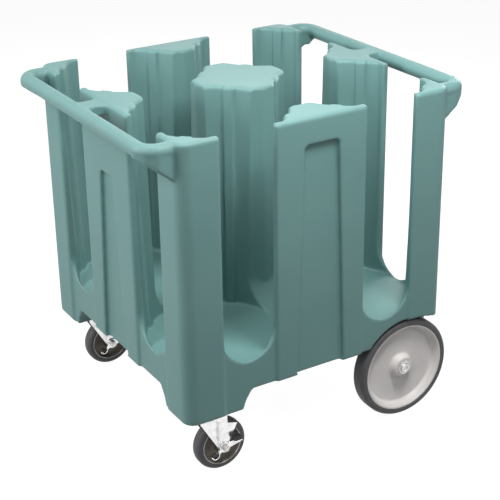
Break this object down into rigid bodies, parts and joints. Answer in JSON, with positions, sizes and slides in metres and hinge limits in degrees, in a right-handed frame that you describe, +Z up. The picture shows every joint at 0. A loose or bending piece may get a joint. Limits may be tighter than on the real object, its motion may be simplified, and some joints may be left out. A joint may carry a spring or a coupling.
{
  "type": "dish caddy",
  "caption": "Low moulded trolley with open-topped round wells for stacks of plates, tall corner and middle posts, bar handles at both ends, big wheels and braked swivel casters.",
  "frame": {"origin": "on the floor, under the middle of the caddy", "axes": "+X along the length from the caster end to the big-wheel end, Y along the wheel axle, +Z up"},
  "size_m": [0.841, 0.7, 0.82],
  "materials": {
    "moulded_polyethylene": "fine moulded grain",
    "grey_rubber": "smooth tread",
    "wheel_polypropylene": "satin",
    "core_polypropylene": "satin",
    "zinc_plated_steel": "zinc plated",
    "chromed_steel": "bright plated",
    "black_rubber": "ribbed"
  },
  "bodies": {
    "chassis": {"body": "moulded_polyethylene", "axle": "zinc_plated_steel", "axle_cap_left": "zinc_plated_steel", "caster_left_plate": "zinc_plated_steel", "caster_left_plate_bolts": "zinc_plated_steel", "caster_left_kingpin": "zinc_plated_steel", "axle_cap_right": "zinc_plated_steel", "caster_right_plate": "zinc_plated_steel", "caster_right_plate_bolts": "zinc_plated_steel", "caster_right_kingpin": "zinc_plated_steel"},
    "wheel_left": {"wheel_left_disc": "wheel_polypropylene", "wheel_left_tyre": "grey_rubber"},
    "swivel_left": {"caster_left_fork": "chromed_steel", "caster_left_bolt": "zinc_plated_steel", "caster_left_nut": "zinc_plated_steel", "caster_left_brake_guard": "chromed_steel"},
    "caster_wheel_left": {"caster_left_wheel_core": "core_polypropylene", "caster_left_tyre": "grey_rubber"},
    "brake_left": {"caster_left_brake_lever": "chromed_steel", "caster_left_pedal_pad": "black_rubber"},
    "wheel_right": {"wheel_right_disc": "wheel_polypropylene", "wheel_right_tyre": "grey_rubber"},
    "swivel_right": {"caster_right_fork": "chromed_steel", "caster_right_bolt": "zinc_plated_steel", "caster_right_nut": "zinc_plated_steel", "caster_right_brake_guard": "chromed_steel"},
    "caster_wheel_right": {"caster_right_wheel_core": "core_polypropylene", "caster_right_tyre": "grey_rubber"},
    "brake_right": {"caster_right_brake_lever": "chromed_steel", "caster_right_pedal_pad": "black_rubber"}
  },
  "joints": [
    {"name": "wheel_left_spin", "type": "hinge", "parent": "chassis", "child": "wheel_left", "pos_m": [0.2525, 0.32075, 0.127], "axis": [0, 1, 0], "continuous": true},
    {"name": "caster_left_swivel", "type": "hinge", "parent": "chassis", "child": "swivel_left", "pos_m": [-0.276, 0.291, 0.15], "axis": [0, 0, 1], "continuous": true},
    {"name": "caster_left_spin", "type": "hinge", "parent": "swivel_left", "child": "caster_wheel_left", "pos_m": [-0.241, 0.291, 0.0635], "axis": [0, 1, 0], "continuous": true},
    {"name": "caster_left_brake", "type": "hinge", "parent": "swivel_left", "child": "brake_left", "pos_m": [-0.241, 0.291, 0.0635], "axis": [0, 1, 0], "range_deg": [0, 25]},
    {"name": "wheel_right_spin", "type": "hinge", "parent": "chassis", "child": "wheel_right", "pos_m": [0.2525, -0.32075, 0.127], "axis": [0, 1, 0], "continuous": true},
    {"name": "caster_right_swivel", "type": "hinge", "parent": "chassis", "child": "swivel_right", "pos_m": [-0.276, -0.291, 0.15], "axis": [0, 0, 1], "continuous": true},
    {"name": "caster_right_spin", "type": "hinge", "parent": "swivel_right", "child": "caster_wheel_right", "pos_m": [-0.241, -0.291, 0.0635], "axis": [0, 1, 0], "continuous": true},
    {"name": "caster_right_brake", "type": "hinge", "parent": "swivel_right", "child": "brake_right", "pos_m": [-0.241, -0.291, 0.0635], "axis": [0, 1, 0], "range_deg": [0, 25]}
  ]
}
